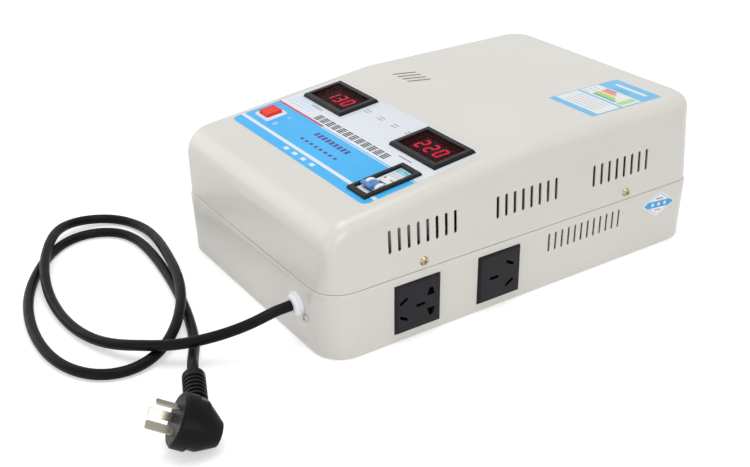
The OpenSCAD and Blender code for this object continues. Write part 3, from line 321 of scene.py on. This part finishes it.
def energy_finish():
    """Printed rating card: blue head and foot, growing bars, and a ruled white field."""
    card_blue = (0.085, 0.50, 0.86)
    white = (0.82, 0.84, 0.86)
    finish = Finish("rating_print", Coat_Weight=0.3, Coat_Roughness=0.2)
    x, y, _ = finish.place(TOP_LABEL)
    field = finish.tone(white, 0.02, 30)
    bars = [(-13.9, 13, (0.66, 0.04, 0.04)), (-14, 17, (0.80, 0.10, 0.06)), (-15, 21, (0.90, 0.62, 0.05)),
            (-15, 25, (0.20, 0.62, 0.12)), (-13.5, 28, (0.03, 0.33, 0.07))]
    bars_rear = 16.4
    bar_pitch = 4.0
    bar_width = 3.3
    shapes = [
        (-29, 29, 17.8, 42, card_blue), (-29, 29, -42, -35.2, card_blue), (-29, 29, -8.2, -5.4, card_blue),
        (-29, -27.4, -42, 42, card_blue), (27.4, 29, -42, 42, card_blue),
        (17, 24, -4, 16, (0.42, 0.72, 0.20)),
        (-18, 20, 29.5, 33.5, white), (-12, 8, 22.5, 23.4, NAVY),
    ]
    for i, (left, length, ink) in enumerate(bars):
        rear = bars_rear - i * bar_pitch
        shapes.append((left, left + length, rear - bar_width, rear, ink))
    field = finish.blocks(field, x, y, shapes)
    for area, pitch in (((-20, 18, -31, -12), 4.6), ((-25, -17, -3, 16), 6.4)):
        field = finish.mix(finish.row(x, y, area, "y", pitch, 0.16), field, CAPTION_GREY)
    finish.set("Base Color", field)
    finish.rough(0.28, 0.4, 60)
    finish.bump(finish.noise(700, 2.0), 0.00002)
    return finish


def sticker_finish():
    """White diamond with a thin blue outline, a broad blue band along it, and small red bars."""
    blue = (0.02, 0.38, 0.80)
    white = (0.93, 0.95, 0.97)
    half_l = 21
    half_w = 13
    band_half_w = 3.4
    band_reach = 0.92
    line_inside, line_outside = 0.83, 0.87
    turn = Matrix.Rotation(radians(90), 3, "Z") @ Matrix.Rotation(radians(90), 3, "X")
    turn = turn @ Matrix.Rotation(STICKER_TILT, 3, "Z")
    finish = Finish("diamond_print", Coat_Weight=0.15, Coat_Roughness=0.15)
    x, y, _ = finish.place(STICKER, turn)
    # The reach is 0 in the middle and 1 on the diamond's edge
    across = finish.math("DIVIDE", finish.math("ABSOLUTE", x), half_l)
    reach = finish.math("ADD", across, finish.math("DIVIDE", finish.math("ABSOLUTE", y), half_w))
    field = finish.tone(white, 0.02, 60)
    inner = finish.math("LESS_THAN", reach, band_reach)
    band = finish.both(finish.within(y, -band_half_w, band_half_w), inner)
    field = finish.mix(band, field, blue)
    field = finish.mix(finish.row(x, y, (-9.5, 9.5, -1.5, 1.5), "x", 8, 0.38), field, white)
    field = finish.mix(finish.within(reach, line_inside, line_outside), field, blue)
    field = finish.blocks(field, x, y, ((-4.5, 4.5, 5.0, 6.2, LINE_RED), (-4, 4, -6.2, -5.4, LINE_RED)))
    finish.set("Base Color", field)
    finish.rough(0.2, 0.3, 80)
    finish.bump(finish.noise(500, 2.0), 0.00002)
    return finish


def breaker_finish():
    """Pale grey breaker with a cyan printed block and fine grey rules behind its lever."""
    finish = Finish("breaker_shell")
    x, y, _ = finish.place(PANEL, PANEL_TURN)
    s = finish.math("MULTIPLY", y, -1)
    shell = finish.blocks(finish.tone((0.88, 0.90, 0.91), 0.03, 60), x, s, (
        (85, 100, 103.2, 108.6, (0.12, 0.58, 0.80)),
        (86.5, 92, 104.6, 105.3, PRINT_WHITE),
        (86.5, 97, 106.5, 107.2, PRINT_WHITE),
        (94, 98.5, 119, 121, CAPTION_GREY),
        (86, 88, 119, 121, INK),
    ))
    shell = finish.mix(finish.row(x, s, (86, 98.5, 110, 117), "y", 1.7, 0.28), shell, CAPTION_GREY)
    finish.set("Base Color", shell)
    finish.rough(0.34, 0.46, 90)
    finish.bump(finish.noise(1500, 2.0), 0.00002)
    return finish


def window_finish():
    """Dark red filter that lets the lit digits through, with a faint painted red glow of its own."""
    finish = Finish("red_filter", Specular_IOR_Level=0.02, Alpha=0.5, Emission_Strength=1.0)
    finish.set("Base Color", finish.tone((0.016, 0.002, 0.002), 0.2, 40))
    # Painted glow: the filter emits a faint red, for the light of the digits inside it
    finish.set("Emission Color", (0.010, 0.0005, 0.001))
    finish.rough(0.16, 0.24, 120)
    finish.bump(finish.noise(60, 1.0), 0.00001)
    return finish


def digit_finish():
    """Lit segments, with a slightly uneven red glow."""
    finish = Finish("lit_segments", Roughness=0.5, Emission_Strength=2.6)
    glow = finish.mix(finish.noise(600, 1.0), (0.92, 0.012, 0.05), (1.0, 0.05, 0.12))
    finish.set("Emission Color", glow)
    finish.set("Base Color", glow)
    return finish


def display_finish():
    """Meter board: a black display block on green laminate. The block also glows a faint red: painted glow
    for the light that the lit segments throw on it.
    """
    finish = Finish("display_board", Emission_Strength=1.0)
    n = finish.place(PANEL, PANEL_TURN)["Z"]
    laminate = finish.tone((0.02, 0.16, 0.06), 0.15, 60)
    block_bottom = -7.8
    above = finish.math("GREATER_THAN", n, block_bottom)
    finish.set("Base Color", finish.mix(above, laminate, (0.008, 0.004, 0.004)))
    # Painted glow on the display block, not a lamp: a faint red emission where the segments' light would
    # fall
    finish.set("Emission Color", finish.mix(above, (0, 0, 0), (0.024, 0.008, 0.009)))
    finish.rough(0.35, 0.5, 90)
    finish.bump(finish.noise(900, 2.0), 0.00003)
    return finish


def laminate_finish():
    """Green circuit laminate with paler lines, where its tracks lie under the mask."""
    finish = Finish("laminate")
    cells = finish.add("TexBrick", {
        "Vector": finish.point, "Scale": 60.0, "Mortar Size": 0.03,
        "Color1": (0.02, 0.18, 0.07), "Color2": (0.018, 0.15, 0.055), "Mortar": (0.05, 0.30, 0.10),
    })
    finish.set("Base Color", cells.outputs["Color"])
    finish.rough(0.3, 0.42, 90)
    finish.bump(cells.outputs["Fac"], 0.00005)
    return finish


def winding_finish():
    """Enamelled copper turns, one beside another round the ring, with painted shade in the grooves between
    them.
    """
    turns = 520
    finish = Finish("copper_winding", metallic=1.0, Coat_Weight=0.6, Coat_Roughness=0.12)
    x, y, _ = finish.place(RING_CENTRE)
    turn = finish.math("MULTIPLY", finish.math("ARCTAN2", y, x), turns / 2)
    wave = finish.math("ABSOLUTE", finish.math("SINE", turn))
    # Dark between the turns and bright on their crowns: painted shade in the grooves between the wires
    finish.set("Base Color", finish.mix(wave, (0.16, 0.045, 0.015), (0.72, 0.30, 0.12)))
    finish.rough(0.25, 0.4, 120)
    finish.bump(wave, 0.0004)
    return finish


def cord_finish():
    """Black cord jacket: satin, finely grained, with a trace of dust."""
    finish = Finish("cord_jacket", Specular_IOR_Level=0.11)
    dust = finish.spread(finish.noise(420, 4.0), 0, 0.35, 0.52, 0.8)
    finish.set("Base Color", finish.mix(dust, (0.004, 0.004, 0.0045), (0.013, 0.013, 0.014)))
    finish.rough(0.34, 0.48, 120)
    finish.bump(finish.noise(260, 3.0), 0.00008)
    return finish


def yellow_zinc_finish():
    """Passivated zinc: pale yellow with duller patches."""
    finish = Finish("yellow_zinc_plate", metallic=1.0)
    hue = finish.spread(finish.noise(420, 2.0), 0, 1)
    finish.set("Base Color", finish.mix(hue, (0.50, 0.43, 0.25), (0.36, 0.33, 0.19)))
    finish.rough(0.3, 0.42, 320)
    finish.bump(finish.noise(1920, 2.0), 0.00002)
    return finish


DRESS = {
    "casing": (casing_finish(), ["base_pan", "top_cover"]),
    "panel": (panel_finish(), ["panel_label"]),
    "energy": (energy_finish(), ["top_label"]),
    "diamond": (sticker_finish(), ["check_sticker"]),
    "bezel": (moulded("bezel_plastic", (0.008, 0.008, 0.01), 0.1, (0.28, 0.4), Specular_IOR_Level=0.18), [
        "input_meter_bezel", "output_meter_bezel", "breaker_frame"]),
    "window": (window_finish(), ["input_meter_window", "output_meter_window"]),
    "digits": (digit_finish(), ["input_meter_digits", "output_meter_digits"]),
    "display": (display_finish(), ["input_meter_board", "output_meter_board"]),
    "white": (moulded("white_plastic", (0.88, 0.90, 0.93), 0.02), [
        "button_frame", "cord_bushing", "bushing_nut"]),
    "red": (moulded("red_plastic", (0.87, 0.036, 0.014), 0.05, Specular_IOR_Level=0.25), ["button_cap"]),
    "switch": (moulded("switch_plastic", (0.03, 0.03, 0.032)), ["button_switch"]),
    "breaker": (breaker_finish(), ["breaker_body"]),
    "toggle": (moulded("blue_plastic", (0.06, 0.24, 0.58), 0.05, (0.26, 0.38)), ["breaker_toggle"]),
    "socket": (moulded("socket_plastic", (0.007, 0.007, 0.01), 0.06, (0.3, 0.42), Specular_IOR_Level=0.22), [
        "universal_outlet", "three_pin_outlet"]),
    "insulator": (moulded("insulator_plastic", (0.016, 0.016, 0.017), 0.05), [
        "outlet_boxes", "terminal_block"]),
    "relay": (moulded("relay_plastic", (0.05, 0.20, 0.50), 0.06), ["board_relays"]),
    "capacitor": (moulded("capacitor_sleeve", (0.03, 0.04, 0.09), 0.08, (0.25, 0.35)), [
        "board_capacitors"]),
    "relay_box": (moulded("clear_grey_plastic", (0.20, 0.20, 0.21), 0.06), ["output_relay"]),
    "fibre": (moulded("pressed_fibre", (0.28, 0.18, 0.09), 0.15, (0.6, 0.8), 700, 0.0001), [
        "ring_pad", "clamp_pad"]),
    "zinc": (metal("zinc_plate", (0.42, 0.43, 0.44)), [
        "breaker_bracket", "chassis_screws", "clamp_plate", "clamp_bolts",
        "earth_screw", "travel_stop", "board_screws"]),
    # The chassis plate is coloured near black in place of its own metal colour, so that the vents show dark:
    # painted shade
    "chassis": (moulded("painted_shade_black_plate", (0.02, 0.02, 0.022), 0.2, (0.5, 0.7), 900), [
        "chassis_plate"]),
    "yellow_zinc": (yellow_zinc_finish(), ["cover_screws"]),
    "brass": (metal("brass", (0.78, 0.56, 0.24)), ["outlet_terminals"]),
    "pin": (metal("nickel_plate", (0.34, 0.33, 0.27), (0.2, 0.28), 0.04, 40, 0.000004), ["plug_pins"]),
    "laminate": (laminate_finish(), ["control_board"]),
    "core": (metal("core_steel", (0.30, 0.30, 0.31), (0.4, 0.6)), ["ring_core", "board_transformer"]),
    "winding": (winding_finish(), ["ring_winding"]),
    "track": (metal("bared_copper", (0.80, 0.40, 0.20), (0.2, 0.35)), ["brush_track"]),
    "motor": (metal("motor_can", (0.46, 0.46, 0.48), (0.3, 0.45)), ["drive_motor", "brush_shaft"]),
    "alloy": (metal("alloy", (0.70, 0.71, 0.73), (0.3, 0.45)), ["heat_sink", "brush_arm"]),
    "carbon": (moulded("carbon", (0.02, 0.02, 0.02), 0.2, (0.5, 0.7)), ["carbon_brush"]),
    "jacket": (cord_finish(), ["plug_body"]),
    "wire_red": (moulded("red_wire", (0.60, 0.03, 0.02), 0.06), ["live_wires"]),
    "wire_blue": (moulded("blue_wire", (0.02, 0.09, 0.45), 0.06), ["neutral_wires"]),
    "wire_green": (moulded("green_yellow_wire", (0.35, 0.60, 0.06), 0.1), ["earth_wires"]),
}

# Nodes whose outer edges catch light, with the width of the round on them
EDGES = {
    "base_pan": 0.0004, "top_cover": 0.0004, "input_meter_bezel": 0.0005, "output_meter_bezel": 0.0005,
    "button_frame": 0.0003, "button_cap": 0.0006, "breaker_frame": 0.0005, "breaker_body": 0.0003,
    "breaker_toggle": 0.0003, "universal_outlet": 0.0003, "three_pin_outlet": 0.0003,
    "cord_bushing": 0.0004, "plug_pins": 0.0002,
}
SMOOTH_ANGLE = radians(32)
EDGE_ANGLE = radians(40)
EDGE_SEGMENTS = 3
FLAT_ANGLE = radians(0.4)
WELD_DISTANCE = 0.000002
FACE_WEIGHT = 80


def dress(name, finish):
    """Gives a CAD node its finish, smooth shading and lightly rounded edges."""
    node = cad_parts[name]
    mesh = node.data
    mesh.materials.clear()
    mesh.materials.append(finish.material)
    for face in mesh.polygons:
        face.material_index = 0
        face.use_smooth = True
    weld = node.modifiers.new("weld", "WELD")
    weld.merge_threshold = WELD_DISTANCE
    if name in EDGES:
        flat = node.modifiers.new("flat", "DECIMATE")
        flat.decimate_type = "DISSOLVE"
        flat.angle_limit = FLAT_ANGLE
        bevel = node.modifiers.new("edge", "BEVEL")
        bevel.width = EDGES[name]
        bevel.segments = EDGE_SEGMENTS
        bevel.limit_method = "ANGLE"
        bevel.angle_limit = EDGE_ANGLE
    split = node.modifiers.new("split", "EDGE_SPLIT")
    split.split_angle = SMOOTH_ANGLE
    shade = node.modifiers.new("shade", "WEIGHTED_NORMAL")
    shade.mode = "FACE_AREA"
    shade.weight = FACE_WEIGHT


for finish, names in DRESS.values():
    for name in names:
        dress(name, finish)
cord.data.materials.append(DRESS["jacket"][0].material)

# Studio
FLOOR_SIZE = 8
FLOOR_WHITE = (0.86, 0.86, 0.86)
FLOOR_GLOW = 0.45
WORLD_LIGHT = 0.45
# Each lamp's place, the point it faces, its size in metres and its power in watts
LAMPS = {
    "overhead": ((0.1, -0.1, 1.7), (0.0, 0.0, 0.1), 1.0, 10.5),
    "left": ((-1.4, -1.05, 0.8), (0.0, -0.15, 0.08), 1.2, 5),
    "low": ((0.6, -1.9, 0.25), (0.1, -0.2, 0.03), 0.9, 4.5),
    "key": ((2.0, -0.3, 0.6), (0.1, 0.0, 0.06), 0.9, 8.5),
}


def seen_rays(tree):
    """1 for the rays that show a backdrop: from the camera, off gloss and through clear parts."""
    path = tree.nodes.new("ShaderNodeLightPath")
    total = path.outputs["Is Camera Ray"]
    for name in ("Is Glossy Ray", "Is Transmission Ray"):
        both = tree.nodes.new("ShaderNodeMath")
        both.operation = "MAXIMUM"
        tree.links.new(total, both.inputs[0])
        tree.links.new(path.outputs[name], both.inputs[1])
        total = both.outputs[0]
    return total


def add_world():
    world = bpy.data.worlds.new("studio")
    world.use_nodes = True
    scene.world = world
    tree = world.node_tree
    light = tree.nodes["Background"]
    light.inputs["Color"].default_value = (1, 1, 1, 1)
    light.inputs["Strength"].default_value = WORLD_LIGHT
    seen = tree.nodes.new("ShaderNodeBackground")
    seen.inputs["Color"].default_value = (1, 1, 1, 1)
    choice = tree.nodes.new("ShaderNodeMixShader")
    tree.links.new(seen_rays(tree), choice.inputs[0])
    tree.links.new(light.outputs[0], choice.inputs[1])
    tree.links.new(seen.outputs[0], choice.inputs[2])
    tree.links.new(choice.outputs[0], tree.nodes["World Output"].inputs["Surface"])


def add_floor():
    """A pale floor that shows white where nothing shades it, and keeps the object's shadow."""
    bpy.ops.mesh.primitive_plane_add(size=FLOOR_SIZE)
    floor = bpy.context.object
    floor.name = "floor"
    finish = Finish("floor_white", Roughness=0.9, Specular_IOR_Level=0.1)
    finish.set("Base Color", FLOOR_WHITE)
    finish.set("Emission Color", (1, 1, 1))
    glow = finish.math("MULTIPLY", seen_rays(finish.tree), FLOOR_GLOW)
    finish.set("Emission Strength", glow)
    floor.data.materials.append(finish.material)


def add_lamps():
    for name, (place, target, size, power) in LAMPS.items():
        light = bpy.data.lights.new(name, "AREA")
        light.shape = "SQUARE"
        light.size = size
        light.energy = power
        lamp = bpy.data.objects.new(name, light)
        scene.collection.objects.link(lamp)
        lamp.location = place
        aim = Vector(target) - Vector(place)
        lamp.rotation_euler = aim.to_track_quat("-Z", "Y").to_euler()
        lamp.visible_camera = False


add_world()
add_floor()
add_lamps()
scene.view_settings.view_transform = "Standard"
